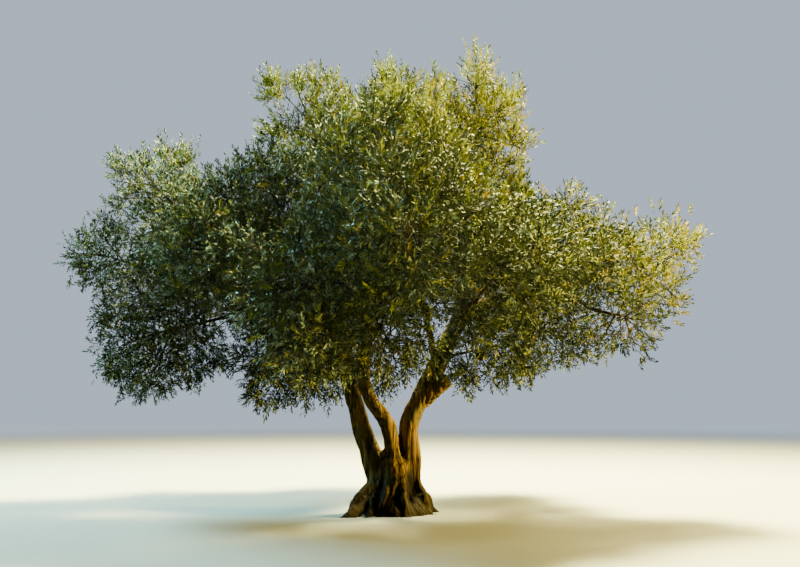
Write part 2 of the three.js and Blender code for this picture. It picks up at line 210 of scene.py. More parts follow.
def buttress(foot, waist, reach, share, stem_name):
    """A strand from below the ground to the top of the fork. share makes it thinner and closer in."""
    stem = STEMS[stem_name]
    foot, waist = math.radians(foot), math.radians(waist)
    turned = waist + TRUNK_TWIST / 2
    fork, lean, radius = np.array(stem["run"][0]), lean_of(stem), stem["radii"][0]
    inward = 0.72 + 0.28 * share
    places = [
        outward(foot) * reach * 1.08 + (0, 0, -0.07),
        outward(foot) * reach * 0.86 + (0, 0, 0.03),
        outward(foot * 0.6 + waist * 0.4) * (reach * 0.48 + WAIST[0] * 0.6) * inward + (0, 0, KNEE_HEIGHT),
        outward(waist) * (WAIST[0], WAIST[1], 0) * inward + (0, 0, WAIST[2]),
        fork - lean * 0.06 + outward(turned) * (radius - 0.046) * inward,
        fork + lean * 0.24 + outward(turned) * (radius - 0.062) * inward,
    ]
    shares = np.linspace(0, 1, STRAND_STEPS + 1)
    wobble = [noise.noise_vector(Vector((foot * 20, 5.1, t * 3.2))) for t in shares]
    path = smooth_run(places, STRAND_STEPS) + np.array(wobble) * STRAND_WOBBLE
    return tube(path, along(STRAND_RADII, shares) * share, CORD_SIDES)


def stem_cords(stem):
    """A stem as a core and cords that wind slowly round it, so that it is fluted like the trunk."""
    run = [np.array(stem["run"][0]) - lean_of(stem) * 0.2] + list(stem["run"])
    path = smooth_run(run, STEM_STEPS)
    shares = np.linspace(0, 1, STEM_STEPS + 1)
    radii = along([stem["radii"][0] * 1.1] + stem["radii"], shares)
    rounded = np.sqrt(np.clip((1 - shares) / 0.03, 0, 1))
    tubes = [tube(path, radii * 0.84 * np.maximum(rounded, 0.2), 20)]
    _, first, second = ring_frames(path)
    for k in range(CORDS_PER_STEM):
        turn = 2 * math.pi * (k + 0.25 * math.sin(k * 2.1)) / CORDS_PER_STEM + shares * 1.3
        offset = radii * (0.5 + 0.08 * math.sin(k * 1.7)) * np.maximum(rounded, 0.3)
        cord = path + (np.cos(turn) * offset)[:, None] * first + (np.sin(turn) * offset)[:, None] * second
        swell = 1 + 0.1 * np.sin(shares * 9 + k * 2.4)
        tubes.append(tube(cord, radii * 0.46 * swell * np.maximum(rounded, 0.2), CORD_SIDES))
    return tubes


def sawn_knob():
    """The stub of the sawn branch, with the collar of new wood that has grown round its end."""
    foot = stem_path(STEMS["right_stem"])[int(KNOB["at"] * PATH_STEPS)]
    way = unit(KNOB["toward"])
    stub = evenly(np.array([foot, foot + way * KNOB["length"]]), 10)
    first = unit(np.cross(way, (0, 0, 1)))
    second = np.cross(way, first)
    turns = np.linspace(0, 2 * math.pi, 25)
    ring = np.cos(turns)[:, None] * first + np.sin(turns)[:, None] * second
    collar = stub[-1] - way * COLLAR["back"] + COLLAR["radius"] * ring
    return [
        tube(stub, along(KNOB["radii"], np.linspace(0, 1, 11)), 18),
        tube(collar, COLLAR["thickness"] * (1 + 0.2 * np.sin(turns * 3)), 10),
    ]


noise.seed_set(NOISE_SEED)
heart = tube(evenly(np.array([(0, 0, -0.06), (0, 0, 0.5), (-0.11, 0, 0.755)]), 7), HEART_RADII, 24)
strands = [buttress(*foot) for foot in BUTTRESSES]
cords = [cord for stem in STEMS.values() for cord in stem_cords(stem)]
corners, faces = joined_tubes([heart] + strands + cords + sawn_knob())
rough_mesh = bpy.data.meshes.new("trunk_rough")
rough_mesh.from_pydata(corners.tolist(), [], faces)
rough = object_of("trunk_rough", rough_mesh)
remesh = rough.modifiers.new("one skin", "REMESH")
remesh.mode = "VOXEL"
remesh.voxel_size = VOXEL
remesh.adaptivity = 0.0
trunk_mesh = bpy.data.meshes.new_from_object(rough.evaluated_get(bpy.context.evaluated_depsgraph_get()))
trunk_mesh.name = "trunk_and_stems_bark"
bpy.data.objects.remove(rough)


def vectors_of(mesh, kind):
    """The places of a mesh's corners, by "co", or the ways out from them, by "normal"."""
    values = np.empty(len(mesh.vertices) * 3, np.float32)
    mesh.vertices.foreach_get(kind, values)
    return values.reshape(-1, 3).astype(float)


def move_corners(mesh, places):
    mesh.vertices.foreach_set("co", places.astype(np.float32).ravel())
    mesh.update()


def neighbour_mean(mesh, values, rounds):
    """Values at the corners, each moved towards the mean of its neighbours, several times over."""
    ends = np.empty(len(mesh.edges) * 2, np.int32)
    mesh.edges.foreach_get("vertices", ends)
    a, b = ends.reshape(-1, 2).T
    count = np.bincount(a, minlength=len(values)) + np.bincount(b, minlength=len(values))
    for _ in range(rounds):
        total = np.zeros_like(values)
        for k in range(values.shape[1]):
            total[:, k] = np.bincount(a, values[b, k], len(values))
            total[:, k] += np.bincount(b, values[a, k], len(values))
        values = 0.4 * values + 0.6 * total / count[:, None]
    return values


def noise_at(points):
    """A number at each point that changes smoothly from place to place."""
    return np.array([noise.noise(Vector(point)) for point in points])


def bark_relief(corners):
    """How far old wood stands out at each corner: flutes, streaks, knots, and flakes up the right stem."""
    flutes = noise_at(corners * (13, 13, 1.7) + (3, 0, 0))
    streaks = noise_at(corners * (38, 38, 5) + (0, 3, 0))
    knots = noise_at(corners * (7, 7, 5) + (0, 0, 3))
    flakes = noise_at(corners * (27, 27, 16) + (0, 0, 3))
    loose = np.clip((corners[:, 0] - 0.1) * 3, 0, 1) * np.clip((corners[:, 2] - 0.95) * 3, 0, 1)
    return 0.009 * (1 - np.abs(flutes) * 2.6) + 0.0045 * streaks + 0.006 * knots + 0.017 * loose * flakes


def set_values(mesh, name, values):
    """A number at each corner of a mesh, for its material to read."""
    mesh.attributes.new(name, "FLOAT", "POINT").data.foreach_set("value", np.asarray(values, np.float32))


HOLLOWS = [  # recesses between the buttresses, pressed in and darkened with painted shade: middle, width and height, and depth
    ((0.23, -0.3, 0.36), (0.072, 0.2), 0.16),
    ((-0.17, -0.3, 0.27), (0.06, 0.22), 0.07),
    ((0.03, -0.34, 0.2), (0.03, 0.15), 0.05),
    ((0.02, 0.34, 0.3), (0.07, 0.19), 0.06),
    ((0.36, 0.16, 0.26), (0.06, 0.16), 0.05),
    ((-0.36, 0.2, 0.24), (0.06, 0.15), 0.05),
]
HOLLOW_SQUEEZE = 0.5  # distances from front to back count by half, so that a recess goes well in
DARK_GROOVE = 0.008  # how deep a furrow in the bark is when its painted shade is at its darkest
DARK_HOLLOW = 0.06  # how deep a recess is when its painted shade alone would be darkest

places = neighbour_mean(trunk_mesh, vectors_of(trunk_mesh, "co"), 4)
move_corners(trunk_mesh, places)
trunk_normals = vectors_of(trunk_mesh, "normal")
hollow = np.zeros(len(places))
for middle, (wide, high), depth in HOLLOWS:
    away = places - middle
    level = np.hypot(away[:, 0], away[:, 1] * HOLLOW_SQUEEZE)
    hollow = np.maximum(hollow, depth * np.exp(-((level / wide) ** 2) - (away[:, 2] / high) ** 2))
places = places + trunk_normals * (bark_relief(places) - hollow)[:, None]
smooth = neighbour_mean(trunk_mesh, places, 12)
# Painted shade: bark that lies below its smoothed surface, or in a recess, darkens by how deep it lies.
groove_shade = np.einsum("ij,ij->i", smooth - places, trunk_normals) / DARK_GROOVE
shade_depth = np.clip(0.5 + groove_shade * 0.5, 0, 1) + hollow / DARK_HOLLOW
places[:, 2] = np.maximum(places[:, 2], 0)
move_corners(trunk_mesh, places)
set_values(trunk_mesh, "groove_shade", np.clip(shade_depth, 0, 1.5))
trunk_mesh.shade_smooth()


def node(tree, kind, inputs=None, **values):
    """A new node. inputs are sockets to link or values to set, by name or number. values are its settings,
    or values to set by name."""
    made = tree.nodes.new(kind)
    for name, value in values.items():
        if name in made.inputs:
            made.inputs[name].default_value = value
        else:
            setattr(made, name, value)
    for place, value in (inputs or {}).items():
        if isinstance(value, bpy.types.NodeSocket):
            tree.links.new(value, made.inputs[place])
        else:
            made.inputs[place].default_value = value
    return made


def ramp(tree, value, low, high, first=0.0, last=1.0, **settings):
    """A number that goes from first to last while value goes from low to high."""
    limits = {"From Min": low, "From Max": high, "To Min": first, "To Max": last}
    return node(tree, "ShaderNodeMapRange", {"Value": value, **limits}, **settings).outputs[0]


def mixed(tree, factor, first, second, blend="MIX"):
    """A colour between two, each a socket or a plain colour."""
    inputs = {0: factor, 6: first, 7: second}
    return node(tree, "ShaderNodeMix", inputs, data_type="RGBA", blend_type=blend).outputs[2]


def bark_group():
    """Weathered bark, used on old and young wood: a height, and masks of what colours it."""
    tree = bpy.data.node_groups.new("bark cracks", "ShaderNodeTree")
    for name in ("Crack scale", "Stretch"):
        tree.interface.new_socket(name, in_out="INPUT", socket_type="NodeSocketFloat")
    for name in ("Height", "Bands", "Streaks", "Cracks", "Lichen"):
        tree.interface.new_socket(name, in_out="OUTPUT", socket_type="NodeSocketFloat")
    inputs = tree.nodes.new("NodeGroupInput").outputs
    place = node(tree, "ShaderNodeTexCoord").outputs["Object"]
    squeeze = node(tree, "ShaderNodeCombineXYZ", {"Z": inputs["Stretch"]}, X=1.0, Y=1.0).outputs[0]
    long = node(tree, "ShaderNodeVectorMath", {0: place, 1: squeeze}, operation="MULTIPLY").outputs[0]
    bent = node(tree, "ShaderNodeTexNoise", {"Vector": long}, Scale=9.0, Detail=3.0).outputs
    push = {0: bent["Color"], 1: (0.07, 0.07, 0.07), 2: long}
    pushed = node(tree, "ShaderNodeVectorMath", push, operation="MULTIPLY_ADD").outputs[0]
    sizes = {"Vector": pushed, "Scale": inputs["Crack scale"]}
    edges = node(tree, "ShaderNodeTexVoronoi", sizes, feature="DISTANCE_TO_EDGE").outputs["Distance"]
    broad = node(tree, "ShaderNodeTexNoise", {"Vector": pushed}, Scale=16.0, Detail=3.0).outputs["Fac"]
    fibres = node(tree, "ShaderNodeTexNoise", {"Vector": pushed}, Scale=42.0, Detail=6.0).outputs["Fac"]
    lichen = node(tree, "ShaderNodeTexNoise", {"Vector": place}, Scale=5.0, Detail=5.0).outputs["Fac"]
    some = {0: ramp(tree, edges, 0.0, 0.18, 1.0, 0.0), 1: ramp(tree, bent["Fac"], 0.4, 0.55)}
    cracks = node(tree, "ShaderNodeMath", some, operation="MULTIPLY").outputs[0]
    rise = {0: cracks, 1: -0.8, 2: fibres}
    node(tree, "NodeGroupOutput", {
        "Height": node(tree, "ShaderNodeMath", rise, operation="MULTIPLY_ADD").outputs[0],
        "Bands": ramp(tree, broad, 0.4, 0.58),
        "Streaks": ramp(tree, fibres, 0.38, 0.62),
        "Cracks": cracks,
        "Lichen": ramp(tree, lichen, 0.52, 0.66),
    })
    return tree


def new_material(name, roughness, specular):
    """A new material, its node tree and its one shader."""
    material = bpy.data.materials.new(name)
    material.use_nodes = True
    tree = material.node_tree
    tree.nodes.clear()
    shader = node(tree, "ShaderNodeBsdfPrincipled", {"Roughness": roughness, "Specular IOR Level": specular})
    node(tree, "ShaderNodeOutputMaterial", {"Surface": shader.outputs[0]})
    return material, tree, shader


bark_cracks = bark_group()
# Painted shade at the foot, with a little damp staining: the bark darkens and greys towards the ground, up to
# this height.
FOOT_SHADE_HEIGHT = 0.78
FOOT_SHADE_AND_DAMP = (0.07, 0.085, 0.12, 1)


def bark_material(name, ridge, wood, crack, lichen, crack_scale, stretch, bump):
    """Bark with pale ridges, dark cracks, lichen patches, and painted shade in furrows, recesses and the damp
    foot.
    """
    material, tree, shader = new_material(name, 0.9, 0.12)
    sizes = {"Crack scale": crack_scale, "Stretch": stretch}
    bark = node(tree, "ShaderNodeGroup", sizes, node_tree=bark_cracks).outputs
    groove_shade = node(tree, "ShaderNodeAttribute", attribute_name="groove_shade").outputs["Fac"]
    place = node(tree, "ShaderNodeTexCoord").outputs["Object"]
    level = node(tree, "ShaderNodeSeparateXYZ", {"Vector": place}).outputs["Z"]
    broad = node(tree, "ShaderNodeTexNoise", {"Vector": place}, Scale=6.0, Detail=4.0).outputs["Fac"]
    fibre = mixed(tree, bark["Streaks"], wood, ridge)
    colour = mixed(tree, bark["Bands"], mixed(tree, broad, wood, ridge), fibre)
    colour = mixed(tree, bark["Streaks"], mixed(tree, 0.45, colour, crack), colour)
    colour = mixed(tree, bark["Lichen"], colour, lichen)
    colour = mixed(tree, bark["Cracks"], colour, crack)
    # painted shade and damp at the foot, strongest at the ground
    shaded_foot = mixed(tree, 1.0, colour, FOOT_SHADE_AND_DAMP, "MULTIPLY")
    colour = mixed(tree, ramp(tree, level, 0.0, FOOT_SHADE_HEIGHT, 1.0, 0.0), colour, shaded_foot)
    # painted shade in the furrows and recesses, towards the crack colour
    colour = mixed(tree, ramp(tree, groove_shade, 0.42, 1.15), colour, crack)
    tree.links.new(colour, shader.inputs["Base Color"])
    bumps = node(tree, "ShaderNodeBump", {"Height": bark["Height"]}, Strength=bump, Distance=0.006)
    tree.links.new(bumps.outputs[0], shader.inputs["Normal"])
    return material


old_bark = bark_material(
    "old bark",
    ridge=(0.42, 0.23, 0.02, 1), wood=(0.1, 0.06, 0.015, 1), crack=(0.018, 0.012, 0.007, 1),
    lichen=(0.14, 0.115, 0.03, 1), crack_scale=24.0, stretch=0.13, bump=0.8,
)
trunk = object_of("trunk_and_stems_bark", trunk_mesh)
trunk_mesh.materials.clear()
trunk_mesh.materials.append(old_bark)
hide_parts("trunk", "left_stem", "middle_stem", "right_stem")
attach(trunk, "root")


# Boughs. Each main bough is one tapering limb that leaves the side of its parent, rises a little and ends
# where it enters its mass of leaves. Their bark is greyer and finer than the trunk's, and they are crooked.
MASSES = {  # middle and radius of the space, parent limb, how far along it, and how much the twigs rise
    "left_tip": ((-3.66, 0, 3.15), 0.64, "left_stem", 0.96, 0.1),
    "left_shoulder": ((-3.14, 0.3, 4.09), 0.71, "left_tip", 0.42, 0.5),
    "left_skirt": ((-2.91, -0.2, 2.15), 0.82, "left_tip", 0.3, -0.4),
    "left_front": ((-2.16, -1, 3.02), 0.8, "left_stem", 0.86, 0),
    "left_back": ((-2.88, 1.5, 3.48), 0.94, "left_tip", 0.16, 0.1),
    "low_left": ((-1.27, -0.3, 1.81), 0.67, "left_stem", 0.66, -0.5),
    "mid_left": ((-1.78, -0.1, 3.68), 0.92, "left_stem", 0.98, 0.3),
    "upper_left": ((-1.13, 0.2, 5.02), 0.78, "middle_stem", 0.86, 0.6),
    "top_mid": ((0.01, 0, 5.02), 0.79, "middle_stem", 0.98, 0.6),
    "top_right": ((1.13, 0.1, 4.98), 0.72, "right_stem", 0.98, 0.5),
    "top_spire": ((1.09, 0.1, 5.74), 0.5, "top_right", 0.9, 0.8),
    "upper_right": ((1.1, 0.3, 3.96), 0.88, "right_stem", 0.88, 0.3),
    "right_inner": ((2.11, -0.4, 3.05), 0.87, "right_tip", 0.24, 0.2),
    "right_tip": ((3.17, 0.1, 3.1), 0.78, "right_stem", 0.8, 0.2),
    "right_skirt": ((2.76, -0.4, 2.33), 0.51, "right_tip", 0.5, -0.4),
    "right_low": ((1.97, 0.3, 2.21), 0.7, "right_tip", 0.1, -0.3),
    "low_right": ((1.06, -0.52, 1.94), 0.56, "right_stem", 0.6, -0.5),
    "front_left": ((-0.78, -2, 2.46), 0.87, "left_stem", 0.76, -0.1),
    "front_mid": ((0.14, -2.5, 2.78), 0.86, "middle_stem", 0.66, 0),
    "front_right": ((1.06, -1.9, 2.66), 0.85, "right_stem", 0.7, -0.1),
    "front_upper": ((-0.11, -1.2, 3.74), 0.93, "right_stem", 0.5, 0.3),
    "front_low": ((-0.03, -1.2, 1.94), 0.56, "front_mid", 0.36, -0.6),
    "back_left": ((-1.62, 2, 3.08), 1, "left_stem", 0.8, -0.1),
    "back_mid": ((-0.02, 2.6, 3.6), 1, "middle_stem", 0.74, 0),
    "back_right": ((1.75, 2, 3.32), 1, "right_stem", 0.74, -0.1),
    "back_upper": ((-0.16, 1.4, 4.64), 1.05, "middle_stem", 0.92, 0.4),
    "back_low": ((-0.62, 1.2, 2.22), 0.68, "left_stem", 0.55, -0.4),
}
MASS_NAMES = list(MASSES)
MIDDLES = np.array([MASSES[name][0] for name in MASS_NAMES])
RADII = np.array([MASSES[name][1] for name in MASS_NAMES])
UP = np.array([0.0, 0.0, 1.0])
BOUGH_PLACES = 48
BOUGH_SIDES = 16
BOUGH_END = 0.96  # how near to the edge of its mass's space a bough ends
BOUGH_SLIMNESS = 36  # its length over its radius at the foot, within the two radii below
BOUGH_RADII = (0.046, 0.088)
BOUGH_TIP_RADIUS = 0.024
SHARE_OF_PARENT = 0.86  # the most that a bough's radius is of its parent's there
SWAY = 0.07
SWAY_OF_PARENT = 0.035  # less for a limb that bears others
FLARE = 0.28  # how much thicker a bough is where it leaves its parent
FLARE_PLACES = 4.5


def reach(index, ways):
    """How far a mass's space goes from its middle in each of several ways."""
    between = np.delete(MIDDLES, index, 0) - MIDDLES[index]
    others = np.delete(RADII, index)
    facing = np.maximum(ways @ between.T, 1e-9)
    planes = ((between**2).sum(1) + RADII[index] ** 2 - others**2) / (2 * facing)
    return np.minimum(RADII[index], planes.min(1))


limbs = {}  # each limb's places and its radii there
for name, stem in STEMS.items():
    limbs[name] = (stem_path(stem), along(stem["radii"], np.linspace(0, 1, PATH_STEPS + 1)))


def way_at(path, share):
    i = int(round(share * (len(path) - 1)))
    low, high = max(i - 1, 0), min(i + 1, len(path) - 1)
    return path[i], unit(path[high] - path[low]), i


def bough_path(name):
    """A bough's places and radii, by the same rule as its solid."""
    middle, _, parent, share, _ = MASSES[name]
    middle = np.array(middle)
    foot, parent_way, i = way_at(limbs[parent][0], share)
    back = unit(foot - middle)
    tip = middle + back * reach(MASS_NAMES.index(name), back[None])[0] * BOUGH_END
    length = np.linalg.norm(tip - foot)
    onward = unit(tip - foot)
    first = unit(onward * 0.65 + parent_way * 0.35 + UP * 0.25)
    last = unit(unit(middle - tip) + onward)
    a, b, c, d = foot, foot + first * length * 0.38, tip - last * length * 0.3, tip
    t = np.linspace(0, 1, 200)[:, None]
    curve = (1 - t) ** 3 * a + 3 * (1 - t) ** 2 * t * b + 3 * (1 - t) * t**2 * c + t**3 * d
    radius = np.clip(length / BOUGH_SLIMNESS, *BOUGH_RADII)
    radius = min(radius, limbs[parent][1][i] * SHARE_OF_PARENT)
    shares = np.linspace(0, 1, BOUGH_PLACES + 1)
    return evenly(curve, BOUGH_PLACES), along([radius, radius * 0.72, BOUGH_TIP_RADIUS], shares)


waiting = list(MASS_NAMES)
while waiting:
    for name in [n for n in waiting if MASSES[n][2] in limbs]:
        limbs[name] = bough_path(name)
        waiting.remove(name)

young_bark = bark_material(
    "young bark",
    ridge=(0.11, 0.085, 0.05, 1), wood=(0.05, 0.038, 0.024, 1), crack=(0.014, 0.01, 0.007, 1),
    lichen=(0.1, 0.095, 0.07, 1), crack_scale=46.0, stretch=0.4, bump=0.6,
)
parents = {mass[2] for mass in MASSES.values()}
for number, name in enumerate(MASS_NAMES):
    path, radii = limbs[name]
    shares = np.linspace(0, 1, len(path))
    sway = np.array([noise.noise_vector(Vector((number * 3.7, s * 5.5, 1.3))) for s in shares])
    most = SWAY_OF_PARENT if name in parents else SWAY
    path = path + sway * (np.sin(shares * math.pi) * most)[:, None]
    flare = 1 + FLARE * np.exp(-((shares * len(path)) / FLARE_PLACES) ** 2)
    turns = np.linspace(0, 2 * math.pi, BOUGH_SIDES, endpoint=False)
    lumps = np.array([
        [noise.noise(Vector((math.cos(t) * 1.6 + number, math.sin(t) * 1.6, s * 14))) for t in turns]
        for s in shares
    ])
    bough_corners, bough_faces = tube(path, (radii * flare)[:, None] * (1 + 0.2 * lumps), BOUGH_SIDES)
    mesh = bpy.data.meshes.new(name + "_bough_bark")
    mesh.from_pydata(bough_corners.tolist(), [], bough_faces)
    # painted shade where the bough's lumps dip in
    set_values(mesh, "groove_shade", (0.45 - 0.8 * lumps.ravel()).clip(0, 1))
    mesh.materials.append(young_bark)
    mesh.shade_smooth()
    bough = object_of(name + "_bough_bark", mesh)
    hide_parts(name + "_bough")
    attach(bough, "root")


# Foliage. Each mass grows from its bough's tip: a stem, main twigs in even ways round it, side twigs along
# those, and shoots along them with leaves in opposite pairs. A leaf is a leathery blade, grey-green above
# and silvery beneath, narrow and pointed. Upper masses have upright shoots, and the skirts hang.
GOLDEN_ANGLE = math.pi * (3 - math.sqrt(5))
CROWN_MIDDLE = np.array([0, 0, 2.9])
CROWN_HALF = np.array([4.1, 3.4, 3.0])
SHADE_MIDDLE = np.array([0, 0, 3.4])  # the inside of the crown, where few twigs keep their leaves
SHADE_HALF = np.array([4.1, 3.4, 2.5])
SHADE = {"from": 0.15, "over": 0.3, "least": 0.25}  # where the share of twigs grows from least to all
WAYS_ROUND = 16
FIRST_SEED = 101
CORE_DRAWS = 42  # the numbers that shape the solid's core, drawn before the turn of its ways
STEM_TIP_RADIUS = 0.012
MAIN_TWIG = {"radii": (0.012, 0.0045), "bend": 0.55, "lift": 0.12, "reaches": [0.3, 0.5, 0.65, 0.8, 0.93]}
SIDE_TWIG = {"spacing": 0.232, "least": 0.07, "radii": (0.006, 0.0024)}  # spacing is between their tips
EVEN_STEPS = np.array([0.8191725, 0.6710436, 0.5497005])  # steps that fill a box evenly
SHOOT = {"count": 7, "first": 0.25, "spread": 0.9, "length": 0.19, "radii": (0.0024, 0.0012), "pairs": 6}
LEAF = {"length": 0.067, "width": 0.0165, "angle": 50}
PLUME = {"count": 8, "length": 0.3, "radii": (0.003, 0.0014), "pairs": 9}  # a long shoot that stands out
LIMB_GAP = 0.03
WELL_OUT = 0.6  # a twig's place at this share of its length says whether it is in its mass's space
BLEND = 3.0  # how far neighbouring masses fill the crease between them: smaller fills more
# How far in the leaves' outer face lies: less at the skirts and in the middle, and more at the tops.
INSET = {"all": 1.45, "skirts": 0.35, "tops": 0.45, "middle": 1.1}
SKIRTS = {"below": 2.1, "over": 0.5}
TOPS = {"above": 4.9, "over": 0.6}
CLUMPS = {"per_metre": 2.0, "depth": 1.0}  # hollows and clumps in the leaves' outer face
BROAD_CLUMPS = {"per_metre": 0.9, "depth": 2.0, "from": 0.8, "over": 0.6}  # towards the front and the back
FILL_MIDDLE = np.array([0.1, -0.1, 3.7])  # the middle of the crown, where the masses close up
FILL_HALF = np.array([2.2, 3.0, 1.7])
OPENING_MARGIN = 0.07  # how far twigs stay from an opening
OPENING_STRETCH = (1, 0.3, 1)  # an opening goes on from front to back
BOX_SLACK = np.array([0.12, 0.06, 0.12])  # how far a shoot may pass the solids' box
OPENINGS = [  # middle and radius of the places where the crown is open
    # beside the spire
    (0.73, 0.1, 6.02, 0.26), (0.85, 0.1, 5.57, 0.13), (0.89, 0.1, 5.4, 0.08), (1.56, 0.1, 6.02, 0.27),
    (1.53, 0.1, 5.62, 0.15), (1.4, 0.1, 5.74, 0.08), (1.89, 0.1, 5.03, 0.15), (1.94, 0.1, 4.35, 0.14),
    # between the tops
    (0.23, 0, 5.72, 0.17), (0.38, 0, 5.49, 0.12), (0.03, 0, 5.86, 0.09), (-0.5, 0.1, 5.62, 0.2),
    (-0.47, 0.1, 5.31, 0.12), (-1.43, 0.2, 5.21, 0.15), (-1.71, 0.2, 5.14, 0.11), (-1.04, 0.1, 6.02, 0.13),
    # over the left
    (-2.53, 0.1, 4.4, 0.18), (-2.23, -0.1, 4.35, 0.15), (-1.98, -0.1, 4.52, 0.1), (-4.02, 0, 3.63, 0.19),
    (-4.16, 0, 2.69, 0.15), (-3.85, 0.2, 4.1, 0.08), (-3.82, -0.1, 2.01, 0.15),
    # over the right
    (3.24, 0.1, 3.75, 0.14), (2.9, -0.4, 3.69, 0.17), (3.24, 0.1, 3.51, 0.07), (2.95, 0.1, 3.94, 0.16),
    (2.65, 0.1, 4.11, 0.18), (2.47, -0.5, 3.92, 0.2), (2.2, -0.5, 4.05, 0.14), (2.78, -0.4, 3.77, 0.19),
    (2.4, -0.2, 4.1, 0.15), (2.07, 0.1, 4.18, 0.14), (1.92, -0.5, 3.99, 0.17), (3.98, 0.1, 2.91, 0.28),
    (3.77, 0.1, 2.73, 0.1), (3.55, 0.1, 3.83, 0.08), (3.75, 0.1, 3.83, 0.08), (3.23, 0.1, 1.76, 0.18),
    # under the left
    (-2.18, -0.2, 2.37, 0.05), (-1.95, -0.2, 1.5, 0.11), (-3.08, -0.2, 1.17, 0.12),
    # under the right
    (2.02, 0, 1.51, 0.19), (2.39, 0, 1.58, 0.19), (2.72, 0, 1.71, 0.17), (3.02, 0, 1.68, 0.17),
    (1.07, -0.5, 1.29, 0.12),
    # in front of the right limb
    (0.66, -1.3, 1.84, 0.08), (0.69, -1.3, 2.1, 0.09), (0.77, -1.3, 2.34, 0.12), (0.98, -1.3, 2.49, 0.12),
    # in front of the knob
    (0.41, -1, 1.33, 0.11), (0.38, -0.8, 1.47, 0.1), (0.5, -0.6, 1.47, 0.1),
]
SPRIGS = [  # middle and radius of small clumps that stand out of their masses
    # top
    (1, 0.1, 5.68, 0.16), (1.18, 0.1, 5.62, 0.2), (0.55, 0.05, 5.46, 0.15), (-0.14, 0.05, 5.52, 0.16),
    (1.66, 0.1, 5.34, 0.11),
    # upper left
    (-1.66, 0.15, 5.53, 0.15), (-1.71, 0.15, 5.33, 0.17), (-1.53, 0.15, 5.33, 0.13),
    (-1.29, 0.15, 5.48, 0.13), (-1, 0.15, 5.53, 0.13), (-1.74, 0.1, 4.8, 0.18),
    # left
    (-2.75, 0.2, 4.41, 0.16), (-3.71, 0.3, 4.35, 0.17), (-3.62, 0.2, 3.8, 0.18), (-3.35, 0.1, 3.62, 0.18),
    (-3.22, 0.2, 3.8, 0.16), (-4.04, 0, 3.2, 0.14), (-3.96, 0, 3.05, 0.18), (-3.69, -0.1, 2.6, 0.15),
    (-3.7, -0.1, 2.37, 0.14), (-3.59, 0, 2.46, 0.18), (-3.61, 0.1, 3.43, 0.21), (-3.66, 0, 3.23, 0.18),
    # under the left
    (-3.09, -0.2, 1.52, 0.13), (-2.73, -0.2, 1.48, 0.12), (-2.49, -0.2, 1.58, 0.19),
    (-1.95, -0.2, 2.15, 0.16), (-1.98, -0.2, 2.33, 0.17), (-1.94, -0.2, 1.94, 0.15),
    (-2.11, -0.2, 1.92, 0.12), (-1.99, -0.2, 1.77, 0.1), (-1.76, -0.2, 1.79, 0.15),
    (-1.67, -0.3, 1.48, 0.19), (-1.26, -0.3, 1.35, 0.22), (-0.87, -0.3, 1.41, 0.22),
    (-0.68, -0.3, 1.43, 0.12),
    # between the stems
    (-0.09, -1, 1.5, 0.17), (0.08, -1.1, 1.87, 0.2), (0.04, -0.7, 2, 0.23), (0.03, 0.3, 2.08, 0.26),
    (0.14, -0.8, 1.69, 0.14), (-0.07, -1.1, 1.7, 0.2),
    # right
    (0.78, -0.4, 1.83, 0.19), (0.8, -0.45, 1.73, 0.21), (0.89, -0.45, 1.61, 0.17), (1.44, -0.1, 1.7, 0.17),
    (3.31, 0.1, 2.27, 0.16), (3.2, 0.1, 2.14, 0.14), (3.86, 0.1, 3.38, 0.14), (1.04, -0.35, 4.33, 0.3),
    (1.01, -0.35, 3.97, 0.27), (1.09, -0.35, 4.72, 0.28),
    # between front, back and sides
    (1.95, -1.15, 2.85, 0.5), (-1.6, -1.65, 2.75, 0.48), (2.5, 1.2, 3.1, 0.5),
]
